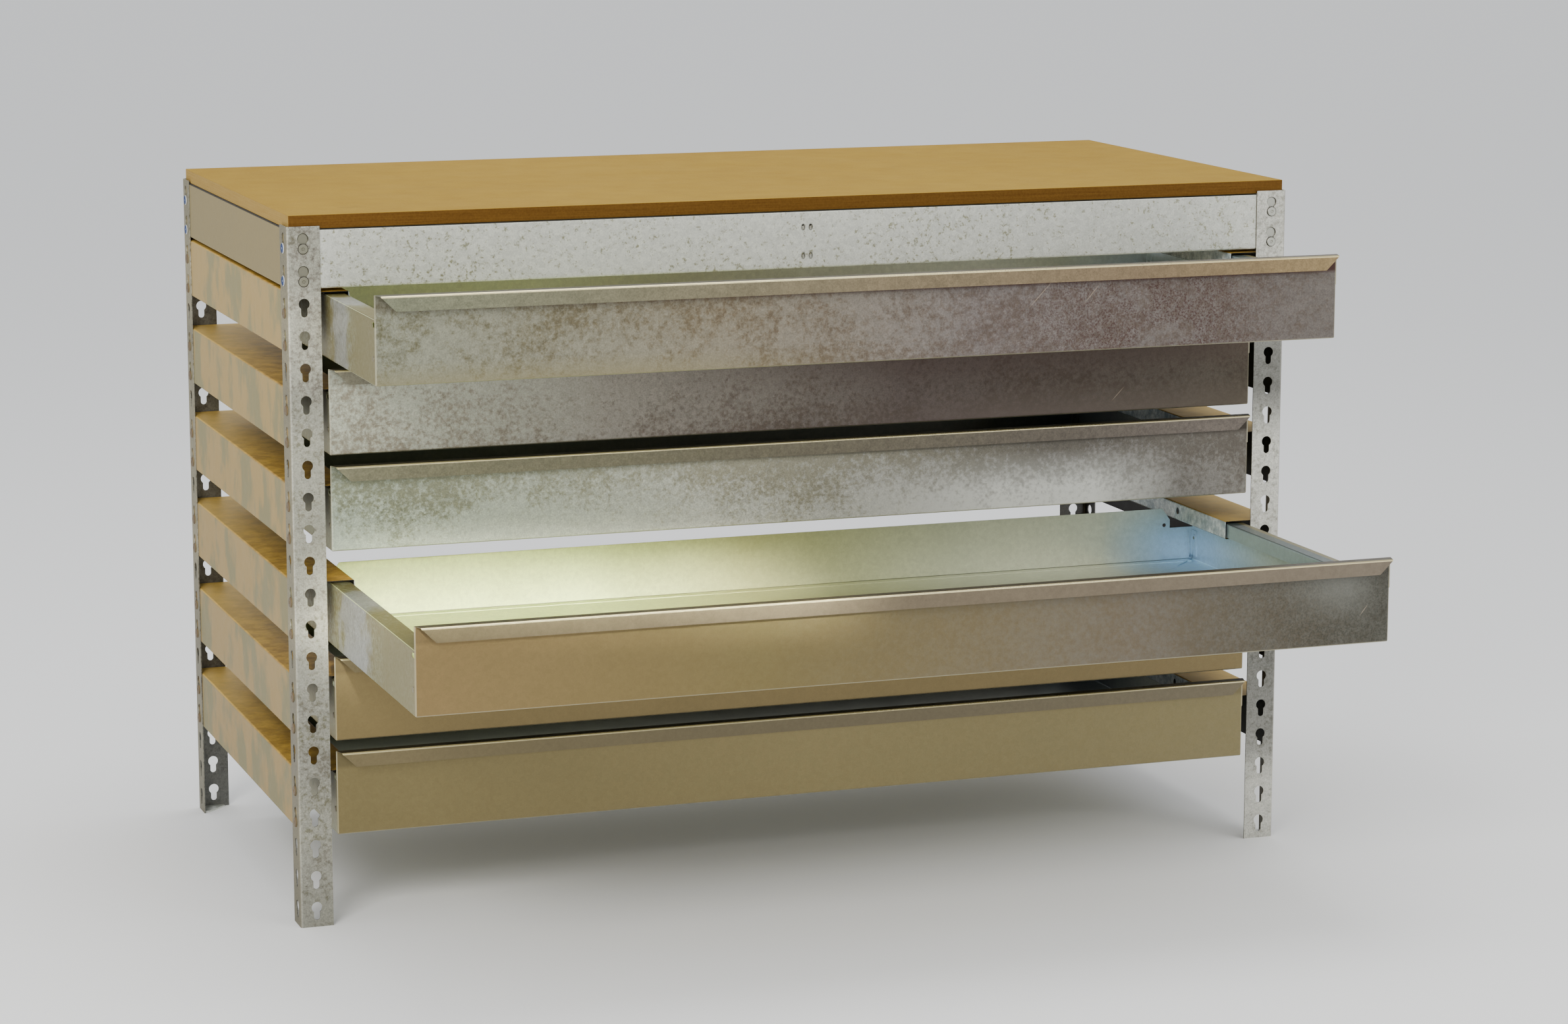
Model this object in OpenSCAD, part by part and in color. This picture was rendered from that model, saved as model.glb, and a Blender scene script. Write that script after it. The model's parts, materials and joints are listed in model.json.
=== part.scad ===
// Workbench with drawers: a boltless sheet-steel frame with slotted angle posts,
// a fibreboard top and a stack of full-width sheet-steel drawers on side rails.
// Millimetres, +Z up, the drawers open towards -Y.

/* [Bench] */
// Width over the posts
bench_w = 1280; // [1180:10:1400]
// Depth over the posts
bench_d = 610; // [600:5:680]
// Thickness of the fibreboard top
board_t = 16; // [12:1:25]
// Gap between the board's edge and the outside of the posts
board_inset = 3.5; // [2.5:0.5:6]

/* [Posts] */
// Width of each post's front or back flange
post_a = 39.7; // [38:0.1:40]
// Width of each post's side flange
post_b = 35; // [34:0.5:38]
// Sheet thickness of the posts
post_t = 1.5; // [1.2:0.1:1.8]
// Diameter of the round end of each keyhole
key_d = 13; // [12:0.5:13.5]
// Width of the keyhole's narrow end
key_slot = 7.6; // [7.4:0.1:8]

/* [Beams and rails] */
// Height of the beams under the top
beam_h = 70; // [66:1:72]
// Width of each beam's top flange
beam_flange = 30; // [24:1:34]
// Height of a drawer rail's web
rail_h = 71; // [69:1:74]
// Width of a drawer rail's top plate
rail_w = 72.5; // [71:0.5:74]
// Sheet thickness of the beams and rails
rail_t = 1.2; // [1:0.1:1.4]
// Diameter of the rivet heads
rivet_d = 12.5; // [10:0.5:13]

/* [Drawers] */
// Height of a drawer's front panel
front_h = 102.5; // [98:0.5:106]
// How far the pull lip stands out
lip_out = 16; // [12:1:20]
// How far the pull lip turns down
lip_down = 17.5; // [12:0.5:22]
// Depth of a drawer from front to back
drawer_d = 545; // [480:5:550]
// Sheet thickness of the drawers
drawer_t = 0.8; // [0.7:0.1:1.2]
// Height of the drawer's back wall
back_h = 70; // [60:1:74]
// How far the first drawer from the top stands open
open_1 = 232; // [0:1:380]
// How far the fourth drawer from the top stands open
open_4 = 388; // [0:1:400]

/* [Hidden] */
$fn = 16;

// keyhole pitch, rows of keyholes and the posts' height
pitch = 38.1;
rows = 22;
post_h = rows * pitch;
key_top = 14.2;
key_drop = 11.7;
key_x = 19.7;
key_y = 17.5;
// rivets sit at the bottom of the keyholes' narrow ends
stud_d = 7;
stud_drop = key_drop + (key_slot - stud_d) / 2;
rivet_h = 1.8;
// the cross bar's end plates hook into slots in the front and rear beams
tab_x = 4.75;
tab_drops = [20, 54.5];
tab_w = 2.8;
tab_h = 4.3;
slot_w = 4.4;
slot_h = 7;
plate_w = 29;
plate_h = 60;
// heights of the beams, rails and drawers
beam_top = post_h - 3.2;
rail_top_1 = post_h - 77.2;
level = 3 * pitch;
tray_below_rail = 78.5;
wall_h = tray_below_rail - rail_t - 2.3;
hook_h = 23;
hook_w = 11.5;
rail_lip_x = bench_w / 2 - post_t - rail_w;
// the drawer's sheet-metal section
front_w = bench_w - 93;
tray_lip_x = rail_lip_x + rail_t + 1.8;
flange_w = front_w / 2 - tray_lip_x;
tray_lip_h = hook_h - 2 * rail_t - 2.3 - 0.4;
corner_r = 2;
notch_z = wall_h - 9.5;
notch_h = 6;
front_y = bench_d / 2 + 0.5;
back_mid_w = 2 * (rail_lip_x - 6);
back_side_h = 44;
// rivets in the drawers' corners, and the stop holes in the rails' lips
corner_z = 30;
stop_y = 145;
// the whole object is centred on its rest pose, with the open drawers in front
reach_front = front_y + lip_out + max(open_1, open_4, 0);
reach_rear = bench_d / 2 + rivet_h;
shift_y = (reach_front - reach_rear) / 2;
steel = [0.72, 0.72, 0.7];
rail_steel = [0.66, 0.65, 0.6];
drawer_steel = [0.62, 0.6, 0.54];
zinc = [0.6, 0.63, 0.68];

function rail_top(k) = rail_top_1 - level * (k - 1);
function drawer_z(k) = rail_top(k) - tray_below_rail;
function opening(k) = k == 1 ? open_1 : (k == 4 ? open_4 : 0);

// ---- sections ----

// quarter of a bent sheet, bulging to the upper left of its centre
module bend(r, t) {
  intersection() {
    difference() {
      circle(r);
      circle(r - t);
    }
    translate([-r, 0]) square(r);
  }
}

// angle with its corner at the origin and flanges along +X and +Y
module angle_section(a, b, t, r) {
  translate([r, 0]) square([a - r, t]);
  translate([0, r]) square([t, b - r]);
  translate([r, r]) rotate(90) bend(r, t);
}

// sheet bent over into two downward legs, its top left corner at the origin
module fold_section(w, left_h, right_h, t, r) {
  translate([r, -t]) square([w - 2 * r, t]);
  translate([0, -left_h]) square([t, left_h - r]);
  translate([w - t, -right_h]) square([t, right_h - r]);
  translate([r, -r]) bend(r, t);
  translate([w - r, -r]) rotate(-90) bend(r, t);
}

// web with a flange at its top and a narrow one at its bottom, both to +X
module channel_section(h, top_w, bottom_w, t, r) {
  translate([0, -h + r]) square([t, h - 2 * r]);
  translate([r, -t]) square([top_w - r, t]);
  translate([r, -h]) square([bottom_w - r, t]);
  translate([r, -r]) bend(r, t);
  translate([r, -h + r]) rotate(90) bend(r, t);
}

// drawer rail: web, top plate, inner lip and a ledge turned back under the lip
module rail_section() {
  r = 2 * rail_t;
  fold_section(rail_w, rail_h, hook_h - r, rail_t, r);
  translate([rail_w - r, -hook_h + r]) rotate(180) bend(r, rail_t);
  translate([rail_w - hook_w, -hook_h]) square([hook_w - r, rail_t]);
}

// ---- frame ----

module keyhole(len) {
  cylinder(d = key_d, h = len);
  translate([-key_slot / 2, -key_drop, 0]) cube([key_slot, key_drop, len]);
  translate([0, -key_drop, 0]) cylinder(d = key_slot, h = len);
}

module post() {
  difference() {
    translate([-bench_w / 2, -bench_d / 2, 0])
      linear_extrude(post_h) angle_section(post_a, post_b, post_t, 2.6);
    for (i = [0 : rows - 1]) {
      z = post_h - key_top - pitch * i;
      translate([-bench_w / 2 + key_x, -bench_d / 2 + post_t + 1, z])
        rotate([90, 0, 0]) keyhole(post_t + 2);
      translate([-bench_w / 2 - 1, -bench_d / 2 + key_y, z])
        rotate([90, 0, 90]) keyhole(post_t + 2);
    }
  }
}

// rivet fixed in a web, its head outside the post: axis +Z, seat at z = 0
module stud() {
  translate([0, 0, -0.2]) cylinder(d = stud_d, h = post_t + 0.4);
  translate([0, 0, post_t])
    rotate_extrude() polygon([[0, 0], [rivet_d / 2, 0], [rivet_d / 2, 0.7],
      [rivet_d / 2 - 1.2, rivet_h], [2.2, rivet_h], [1.6, 1], [0, 1]]);
}

function stud_z(i) = post_h - key_top - stud_drop - pitch * i;

module studs_side(i) {
  for (n = [i, i + 1], s = [-1, 1])
    translate([-bench_w / 2 + post_t, s * (bench_d / 2 - key_y), stud_z(n)])
      rotate([0, -90, 0]) stud();
}

module studs_front() {
  for (n = [0, 1], s = [-1, 1])
    translate([s * (bench_w / 2 - key_x), -bench_d / 2 + post_t, stud_z(n)])
      rotate([90, 0, 0]) stud();
}

module foot() {
  translate([-bench_w / 2 + post_t, -bench_d / 2 + post_t, 0])
    linear_extrude(2) polygon([[1.5, 0], [31, 0], [31, 6], [6, 29], [0, 29], [0, 1.5]]);
}

// upright slot with round ends, through a web that faces -Y
module tab_slot(depth) {
  straight = slot_h - slot_w;
  rotate([90, 0, 0]) {
    for (s = [-1, 1])
      translate([0, s * straight / 2, -depth / 2]) cylinder(d = slot_w, h = depth);
    translate([-slot_w / 2, -straight / 2, -depth / 2]) cube([slot_w, straight, depth]);
  }
}

module front_beam() {
  w = bench_w - 2 * post_t - 3;
  difference() {
    union() {
      translate([-w / 2, -bench_d / 2 + post_t, beam_top])
        rotate([90, 0, 90]) linear_extrude(w)
          channel_section(beam_h, beam_flange, 12, rail_t, 2 * rail_t);
      studs_front();
    }
    for (x = [-tab_x, tab_x], drop = tab_drops)
      translate([x, -bench_d / 2 + post_t, beam_top - drop]) tab_slot(10);
  }
}

module side_beam() {
  len = bench_d - 2 * post_t - 3;
  clear = beam_flange + 1.5;
  difference() {
    union() {
      translate([-bench_w / 2 + post_t, len / 2, beam_top])
        rotate([90, 0, 0]) linear_extrude(len)
          channel_section(beam_h, beam_flange, 12, rail_t, 2 * rail_t);
      studs_side(0);
    }
    for (s = [-1, 1])
      translate([-bench_w / 2 + post_t + rail_t, s * (bench_d / 2 - clear / 2) - clear / 2, 0])
        cube([60, clear, post_h]);
    for (s = [-1, 1])
      translate([-bench_w / 2 + post_t - 0.01, s * (bench_d / 2 - clear / 2) - clear / 2,
        beam_top - 2 * rail_t])
        cube([20, clear, 10]);
  }
}

module under_bar() {
  len = bench_d - 2 * post_t - 2 * rail_t;
  top = beam_top - rail_t;
  translate([-15, len / 2 - 1.4, top])
    rotate([90, 0, 0]) linear_extrude(len - 2.8)
      fold_section(30, 44, 44, rail_t, 2 * rail_t);
  for (s = [-1, 1])
    difference() {
      union() {
        translate([-plate_w / 2, s * (len / 2 - 1) - 1, top - plate_h - 2])
          cube([plate_w, 2, plate_h]);
        // tabs in the beam's slots, just short of the web's face
        for (x = [-tab_x, tab_x], drop = tab_drops)
          translate([x - tab_w / 2, s * (len / 2 + 0.3) - 0.8, beam_top - drop - slot_h / 2 + 0.6])
            cube([tab_w, 1.6, tab_h]);
      }
      // what the tabs were bent out of
      for (x = [-tab_x, tab_x], drop = tab_drops)
        translate([x - tab_w / 2, s * (len / 2 - 1) - 1.5, beam_top - drop - slot_h / 2 + 0.6 + tab_h])
          cube([tab_w, 3, 2]);
    }
}

module rail(k) {
  len = bench_d - 2 * post_t - 2.4;
  difference() {
    union() {
      translate([-bench_w / 2 + post_t, len / 2, rail_top(k)])
        rotate([90, 0, 0]) linear_extrude(len) rail_section();
      studs_side(2 + 3 * (k - 1));
    }
    // stop holes near the ends of the lip
    for (s = [-1, 1])
      translate([-rail_lip_x - 5, s * (bench_d / 2 - stop_y), rail_top(k) - 10.5])
        rotate([0, 90, 0]) cylinder(d = 9, h = 10);
  }
}

// ---- drawers, drawn closed with the panel's face at y = 0 and its bottom at z = 0 ----

module place_drawer(k) {
  translate([0, shift_y - front_y - opening(k), drawer_z(k)]) children();
}

module tray() {
  len = drawer_d - 2 * drawer_t;
  difference() {
    translate([0, drawer_d - drawer_t, 0])
      rotate([90, 0, 0]) linear_extrude(len) {
        translate([-front_w / 2 + 2, 0]) square([front_w - 4, drawer_t]);
        for (m = [0, 1]) mirror([m, 0]) {
          translate([-front_w / 2, wall_h])
            fold_section(flange_w, wall_h - 2, tray_lip_h, drawer_t, 2);
          translate([-front_w / 2 + 2, 2]) rotate(90) bend(2, drawer_t);
        }
      }
    // the top flanges stop short of the back wall
    for (s = [-1, 1])
      translate([s * (front_w / 2 - 20) - 19 - s, drawer_d - 7, wall_h - 20])
        cube([38, 8, 21]);
    // room for the panel's own bends
    translate([-front_w / 2 - 1, -1, -1]) cube([front_w + 2, 1 + corner_r, notch_z + 2]);
    // relief notches in the side walls, just behind the panel and under the flange
    translate([-front_w / 2 - 1, -1, notch_z]) cube([front_w + 2, 10, notch_h]);
    translate([-front_w / 2 - 1, 9, notch_z + notch_h / 2]) rotate([0, 90, 0])
      cylinder(d = notch_h, h = front_w + 2);
    corner_rivet_holes();
  }
}

module corner_rivet_holes() {
  for (s = [-1, 1], y = [8, drawer_d - 8])
    translate([s * (front_w / 2 - 2) - 6, y, corner_z])
      rotate([0, 90, 0]) cylinder(d = 4, h = 12);
}

// the panel's lower edge and its two upright edges are bent back to meet the tray
module drawer_front() {
  w = front_w;
  c = corner_r;
  t = drawer_t;
  difference() {
    union() {
      translate([-w / 2, -lip_out, front_h])
        rotate([90, 0, 90]) linear_extrude(w)
          fold_section(lip_out + t, lip_down, front_h - c, t, 2 * t + 0.5);
      translate([-w / 2, c, c])
        rotate([90, 0, 90]) linear_extrude(w) rotate(90) bend(c, t);
      translate([-w / 2 + 8, 1.5, t]) cube([w - 16, 13, t]);
    }
    // below the notches the panel leaves room for its upright bends
    for (s = [-1, 1])
      translate([s * (w / 2 - c / 2 + 1) - c / 2 - 1, -1, -1])
        cube([c + 2, c + 3, notch_z + 1]);
    for (m = [0, 1]) mirror([m, 0, 0]) {
      // flange ends cut in a little, flap ends cut at an angle
      translate([0, 0, front_h - lip_down - 1]) linear_extrude(lip_down + 2)
        polygon([[w / 2, 0], [w / 2 + 1, 0], [w / 2 + 1, -lip_out - 1],
          [w / 2 - 5, -lip_out - 1]]);
      translate([0, -lip_out + t + 0.01, front_h - lip_down]) rotate([90, 0, 0])
        linear_extrude(t + 1)
          polygon([[w / 2 - 21, -1], [w / 2 + 1, -1], [w / 2 + 1, lip_down - 2],
            [w / 2 - 5, lip_down - 2], [w / 2 - 21, 0]]);
    }
  }
  difference() {
    for (m = [0, 1]) mirror([m, 0, 0]) {
      translate([-w / 2 + c, c, c]) linear_extrude(notch_z - c) rotate(90) bend(c, t);
      translate([-w / 2 + t, 1.5, 8]) cube([t, 13, 44]);
      translate([-w / 2 + c, c, c]) intersection() {
        difference() {
          sphere(c);
          sphere(c - t);
        }
        translate([-c, -c, -c]) cube(c);
      }
    }
    corner_rivet_holes();
  }
}

module drawer_back() {
  w = front_w;
  difference() {
    union() {
      translate([-w / 2, drawer_d - drawer_t, 0]) cube([w, drawer_t, back_side_h]);
      translate([0, drawer_d, 0]) rotate([90, 0, 0]) linear_extrude(drawer_t)
        polygon([[-back_mid_w / 2, 20], [back_mid_w / 2, 20], [back_mid_w / 2, back_h - 15],
          [back_mid_w / 2 - 11, back_h], [-back_mid_w / 2 + 11, back_h],
          [-back_mid_w / 2, back_h - 15]]);
      for (s = [-1, 1])
        translate([s * (w / 2 - 1.5 * drawer_t) - drawer_t / 2, drawer_d - 15, 6])
          cube([drawer_t, 14.5, back_side_h - 10]);
      translate([-w / 2 + 8, drawer_d - 15, drawer_t]) cube([w - 16, 14.5, drawer_t]);
    }
    corner_rivet_holes();
    for (s = [-1, 1])
      translate([s * (back_mid_w / 2 - 8), drawer_d + 1, back_h - 22])
        rotate([90, 0, 0]) cylinder(d = 5, h = 5);
  }
}

module corner_rivets() {
  for (s = [-1, 1], y = [8, drawer_d - 8])
    translate([s * front_w / 2, y, corner_z]) rotate([0, s * 90, 0])
      rotate_extrude()
        polygon([[0, -2 * drawer_t - 0.6], [3, -2 * drawer_t - 0.6], [3, -2 * drawer_t],
          [2, -2 * drawer_t], [2, 0], [3.5, 0], [3.2, 0.5], [2, 0.8], [0, 0.8]]);
}

// ---- nodes ----

module worktop() {
  color([0.76, 0.65, 0.42])
    translate([-bench_w / 2 + board_inset, shift_y - bench_d / 2 + board_inset, beam_top])
      cube([bench_w - 2 * board_inset, bench_d - 2 * board_inset, board_t]);
}
module post_front_left() { color(steel) translate([0, shift_y, 0]) post(); }
module post_front_right() { color(steel) translate([0, shift_y, 0]) mirror([1, 0, 0]) post(); }
module post_rear_left() { color(steel) translate([0, shift_y, 0]) mirror([0, 1, 0]) post(); }
module post_rear_right() {
  color(steel) translate([0, shift_y, 0]) mirror([1, 0, 0]) mirror([0, 1, 0]) post();
}
module foot_front_left() { color(zinc) translate([0, shift_y, 0]) foot(); }
module foot_front_right() { color(zinc) translate([0, shift_y, 0]) mirror([1, 0, 0]) foot(); }
module foot_rear_left() { color(zinc) translate([0, shift_y, 0]) mirror([0, 1, 0]) foot(); }
module foot_rear_right() {
  color(zinc) translate([0, shift_y, 0]) mirror([1, 0, 0]) mirror([0, 1, 0]) foot();
}
module beam_front() { color(steel) translate([0, shift_y, 0]) front_beam(); }
module beam_rear() { color(steel) translate([0, shift_y, 0]) mirror([0, 1, 0]) front_beam(); }
module beam_left() { color(steel) translate([0, shift_y, 0]) side_beam(); }
module beam_right() { color(steel) translate([0, shift_y, 0]) mirror([1, 0, 0]) side_beam(); }
module crossbar() { color(steel) translate([0, shift_y, 0]) under_bar(); }
module rail_left(k) { color(rail_steel) translate([0, shift_y, 0]) rail(k); }
module rail_right(k) { color(rail_steel) translate([0, shift_y, 0]) mirror([1, 0, 0]) rail(k); }
module rail_left_1() { rail_left(1); }
module rail_left_2() { rail_left(2); }
module rail_left_3() { rail_left(3); }
module rail_left_4() { rail_left(4); }
module rail_left_5() { rail_left(5); }
module rail_left_6() { rail_left(6); }
module rail_right_1() { rail_right(1); }
module rail_right_2() { rail_right(2); }
module rail_right_3() { rail_right(3); }
module rail_right_4() { rail_right(4); }
module rail_right_5() { rail_right(5); }
module rail_right_6() { rail_right(6); }
module drawer_1_tray() { color(drawer_steel) place_drawer(1) tray(); }
module drawer_1_front() { color(drawer_steel) place_drawer(1) drawer_front(); }
module drawer_1_back() { color(drawer_steel) place_drawer(1) drawer_back(); }
module drawer_1_rivets() { color(zinc) place_drawer(1) corner_rivets(); }
module drawer_2_tray() { color(drawer_steel) place_drawer(2) tray(); }
module drawer_2_front() { color(drawer_steel) place_drawer(2) drawer_front(); }
module drawer_2_back() { color(drawer_steel) place_drawer(2) drawer_back(); }
module drawer_2_rivets() { color(zinc) place_drawer(2) corner_rivets(); }
module drawer_3_tray() { color(drawer_steel) place_drawer(3) tray(); }
module drawer_3_front() { color(drawer_steel) place_drawer(3) drawer_front(); }
module drawer_3_back() { color(drawer_steel) place_drawer(3) drawer_back(); }
module drawer_3_rivets() { color(zinc) place_drawer(3) corner_rivets(); }
module drawer_4_tray() { color(drawer_steel) place_drawer(4) tray(); }
module drawer_4_front() { color(drawer_steel) place_drawer(4) drawer_front(); }
module drawer_4_back() { color(drawer_steel) place_drawer(4) drawer_back(); }
module drawer_4_rivets() { color(zinc) place_drawer(4) corner_rivets(); }
module drawer_5_tray() { color(drawer_steel) place_drawer(5) tray(); }
module drawer_5_front() { color(drawer_steel) place_drawer(5) drawer_front(); }
module drawer_5_back() { color(drawer_steel) place_drawer(5) drawer_back(); }
module drawer_5_rivets() { color(zinc) place_drawer(5) corner_rivets(); }
module drawer_6_tray() { color(drawer_steel) place_drawer(6) tray(); }
module drawer_6_front() { color(drawer_steel) place_drawer(6) drawer_front(); }
module drawer_6_back() { color(drawer_steel) place_drawer(6) drawer_back(); }
module drawer_6_rivets() { color(zinc) place_drawer(6) corner_rivets(); }

worktop();
post_front_left();
post_front_right();
post_rear_left();
post_rear_right();
foot_front_left();
foot_front_right();
foot_rear_left();
foot_rear_right();
beam_front();
beam_rear();
beam_left();
beam_right();
crossbar();
rail_left_1();
rail_left_2();
rail_left_3();
rail_left_4();
rail_left_5();
rail_left_6();
rail_right_1();
rail_right_2();
rail_right_3();
rail_right_4();
rail_right_5();
rail_right_6();
drawer_1_tray();
drawer_1_front();
drawer_1_back();
drawer_1_rivets();
drawer_2_tray();
drawer_2_front();
drawer_2_back();
drawer_2_rivets();
drawer_3_tray();
drawer_3_front();
drawer_3_back();
drawer_3_rivets();
drawer_4_tray();
drawer_4_front();
drawer_4_back();
drawer_4_rivets();
drawer_5_tray();
drawer_5_front();
drawer_5_back();
drawer_5_rivets();
drawer_6_tray();
drawer_6_front();
drawer_6_back();
drawer_6_rivets();
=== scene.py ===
import json
import math

import bmesh
import bpy
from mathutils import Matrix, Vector


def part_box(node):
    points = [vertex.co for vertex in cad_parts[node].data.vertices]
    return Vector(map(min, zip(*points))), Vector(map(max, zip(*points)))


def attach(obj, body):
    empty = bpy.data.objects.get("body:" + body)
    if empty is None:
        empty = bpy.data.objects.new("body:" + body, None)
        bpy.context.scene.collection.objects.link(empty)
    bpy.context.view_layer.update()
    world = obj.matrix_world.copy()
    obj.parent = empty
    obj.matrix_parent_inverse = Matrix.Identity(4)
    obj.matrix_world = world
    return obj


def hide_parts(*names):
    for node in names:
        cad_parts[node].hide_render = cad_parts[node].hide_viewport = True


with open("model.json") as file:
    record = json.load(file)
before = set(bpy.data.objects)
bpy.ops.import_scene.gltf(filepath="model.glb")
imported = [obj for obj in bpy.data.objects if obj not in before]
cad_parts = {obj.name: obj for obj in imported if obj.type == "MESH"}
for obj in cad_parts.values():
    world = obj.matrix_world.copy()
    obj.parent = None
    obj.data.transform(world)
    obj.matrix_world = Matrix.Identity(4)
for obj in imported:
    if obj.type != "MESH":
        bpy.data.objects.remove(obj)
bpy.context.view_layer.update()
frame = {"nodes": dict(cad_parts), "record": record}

BODIES = {node: body for body, nodes in frame["record"]["behaviour"]["bodies"].items() for node in nodes}
NODES = frame["nodes"]
DRAWERS = range(1, 7)
MM = 0.001


def corners(node):
    """The low and the high corner of a node's box."""
    lo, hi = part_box(node)
    return Vector(lo), Vector(hi)


# ---- where the frame stands, from the posts ----
FL_LO, FL_HI = corners("post_front_left")
RR_HI = corners("post_rear_right")[1]
MID_Y = (FL_LO.y + RR_HI.y) / 2
HALF_W = RR_HI.x
HALF_D = (RR_HI.y - FL_LO.y) / 2
POST_TOP = FL_HI.z

# ---- measures of the sheet metal ----
# posts: width of their front flange, depth of the bend, and a depth inside the sheet
POST_FLANGE = 40 * MM
POST_BEND = 2.2 * MM
POST_INSIDE = 0.9 * MM
# keyholes: pitch, round end and its place from the post's top and outer edge; the rivet's place below it
# and the hollow of its dished head
PITCH = 38.1 * MM
KEY_D = 13 * MM
KEY_TOP = 14.2 * MM
KEY_X = 19.7 * MM
RIVET_DROP = 12 * MM
DISH_R = 4 * MM
# the crossbar's tab slots in the front and rear beams, from the middle and from the beams' top
TAB_X = 4.75 * MM
TAB_MIDDLE = 37.25 * MM
TAB_RISE = 17.25 * MM
TAB_W = 4.4 * MM
TAB_H = 7 * MM
TAB_RIM = 0.5 * MM
# how deep the beams' top edge is in the board's shadow
TOP_EDGE = 1.6 * MM
# how far in from the posts' sides the painted shade of the channel inside a rail starts
CHANNEL_IN = 2.2 * MM
# drawers: sheet, pull lip and its bend, and the depth of the joint between floor and back wall
SHEET = 0.8 * MM
LIP_DOWN = 17.5 * MM
LIP_OUT = 16 * MM
BEND = 2 * MM
JOINT = 2 * MM
# just over the top of the doubled floor, above the tray's underside
FLOOR_TOP = 2.2 * MM
# reach from a drawer's side and top: of the hollow under the side flanges, of the flanges' inner faces, and
# of the painted shade in the corners behind the panel
HOLLOW_IN, HOLLOW_DOWN = 23.6 * MM, 18 * MM
FACE_IN, FACE_DOWN = 30 * MM, 22 * MM
CORNER_IN, CORNER_DOWN = 24 * MM, 19 * MM


def lin(r, g, b):
    """sRGB bytes to the linear colour the shader wants."""
    return tuple(((c / 255 + 0.055) / 1.055) ** 2.4 if c > 10 else c / 3294.6 for c in (r, g, b))


# ---- node helpers ----
class Tree:
    """Short ways to add and link shader nodes. Places are in the frame's metres, at rest."""

    def __init__(self, name):
        self.mat = bpy.data.materials.new(name)
        self.mat.use_nodes = True
        self.nodes = self.mat.node_tree.nodes
        self.links = self.mat.node_tree.links
        self.nodes.clear()
        out = self.nodes.new("ShaderNodeOutputMaterial")
        self.bsdf = self.nodes.new("ShaderNodeBsdfPrincipled")
        self.links.new(self.bsdf.outputs[0], out.inputs[0])
        self.coord = self.nodes.new("ShaderNodeTexCoord").outputs["Object"]
        self.skin = self.stretch((1, 1, 1))
        self.x, self.y, self.z = self.split(self.coord)
        normal = self.nodes.new("ShaderNodeNewGeometry").outputs["Normal"]
        self.nx, _, self.nz = self.split(normal)
        # distance from the bench's middle to the side and in depth, and 1 on its right half
        self.side = self.math("ABSOLUTE", self.x)
        self.depth = self.math("ABSOLUTE", self.math("SUBTRACT", self.y, MID_Y))
        self.right = self.above(self.x, 0, 0.1)

    def split(self, vector):
        node = self.nodes.new("ShaderNodeSeparateXYZ")
        self.links.new(vector, node.inputs[0])
        return node.outputs

    def put(self, socket, value):
        """Link or set a socket; a colour of three numbers gets its alpha."""
        if isinstance(value, bpy.types.NodeSocket):
            self.links.new(value, socket)
        elif isinstance(value, (tuple, list)) and len(value) == 3 and len(socket.default_value) == 4:
            socket.default_value = (*value, 1)
        else:
            socket.default_value = value

    def math(self, op, a, b=0.0, c=0.0):
        node = self.nodes.new("ShaderNodeMath")
        node.operation = op
        for socket, value in zip(node.inputs, (a, b, c)):
            self.put(socket, value)
        return node.outputs[0]

    def times(self, *values):
        product = values[0]
        for value in values[1:]:
            product = self.math("MULTIPLY", product, value)
        return product

    def most(self, *values):
        """The highest of several numbers."""
        highest = values[0]
        for value in values[1:]:
            highest = self.math("MAXIMUM", highest, value)
        return highest

    def reach(self, across, up):
        """How far off a point is, from its distances across and up."""
        return self.math("SQRT", self.math("MULTIPLY_ADD", across, across, self.times(up, up)))

    def span(self, value, a, b, lo=0.0, hi=1.0):
        """lo where value is a, hi where it is b, even between them and level beyond."""
        node = self.nodes.new("ShaderNodeMapRange")
        node.clamp = True
        for socket, number in zip(node.inputs, (value, a, b, lo, hi)):
            self.put(socket, number)
        return node.outputs[0]

    def above(self, value, edge, soft=0.3 * MM):
        """1 where value is over edge."""
        return self.span(value, edge - soft, edge + soft)

    def below(self, value, edge, soft=0.3 * MM):
        """1 where value is under edge."""
        return self.span(value, edge - soft, edge + soft, 1.0, 0.0)

    def mix(self, factor, a, b):
        node = self.nodes.new("ShaderNodeMix")
        node.data_type = "RGBA"
        self.put(node.inputs[0], factor)
        self.put(node.inputs[6], a)
        self.put(node.inputs[7], b)
        return node.outputs[2]

    def shade(self, colour, factor):
        """A colour made darker or lighter by a number."""
        node = self.nodes.new("ShaderNodeVectorMath")
        node.operation = "SCALE"
        self.put(node.inputs[0], colour)
        self.put(node.inputs["Scale"], factor)
        return node.outputs[0]

    def stretch(self, scale, turn=0.0):
        """Object coordinates, scaled and then turned about X."""
        node = self.nodes.new("ShaderNodeMapping")
        node.inputs["Rotation"].default_value = (turn, 0, 0)
        node.inputs["Scale"].default_value = scale
        self.links.new(self.coord, node.inputs[0])
        return node.outputs[0]

    def noise(self, vector, scale, detail, rough=0.55):
        node = self.nodes.new("ShaderNodeTexNoise")
        self.links.new(vector, node.inputs["Vector"])
        node.inputs["Scale"].default_value = scale
        node.inputs["Detail"].default_value = detail
        node.inputs["Roughness"].default_value = rough
        return node.outputs["Fac"]

    def cells(self, vector, scale):
        """A random number for each crystal of the spangle."""
        node = self.nodes.new("ShaderNodeTexVoronoi")
        self.links.new(vector, node.inputs["Vector"])
        node.inputs["Scale"].default_value = scale
        return self.split(node.outputs["Color"])[0]

    def ramp(self, value, stops):
        node = self.nodes.new("ShaderNodeValToRGB")
        ends = node.color_ramp.elements
        for element, (place, colour) in zip(ends, (stops[0], stops[-1])):
            element.position = place
            element.color = (*colour, 1)
        for place, colour in stops[1:-1]:
            node.color_ramp.elements.new(place).color = (*colour, 1)
        self.put(node.inputs[0], value)
        return node.outputs[0]

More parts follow.
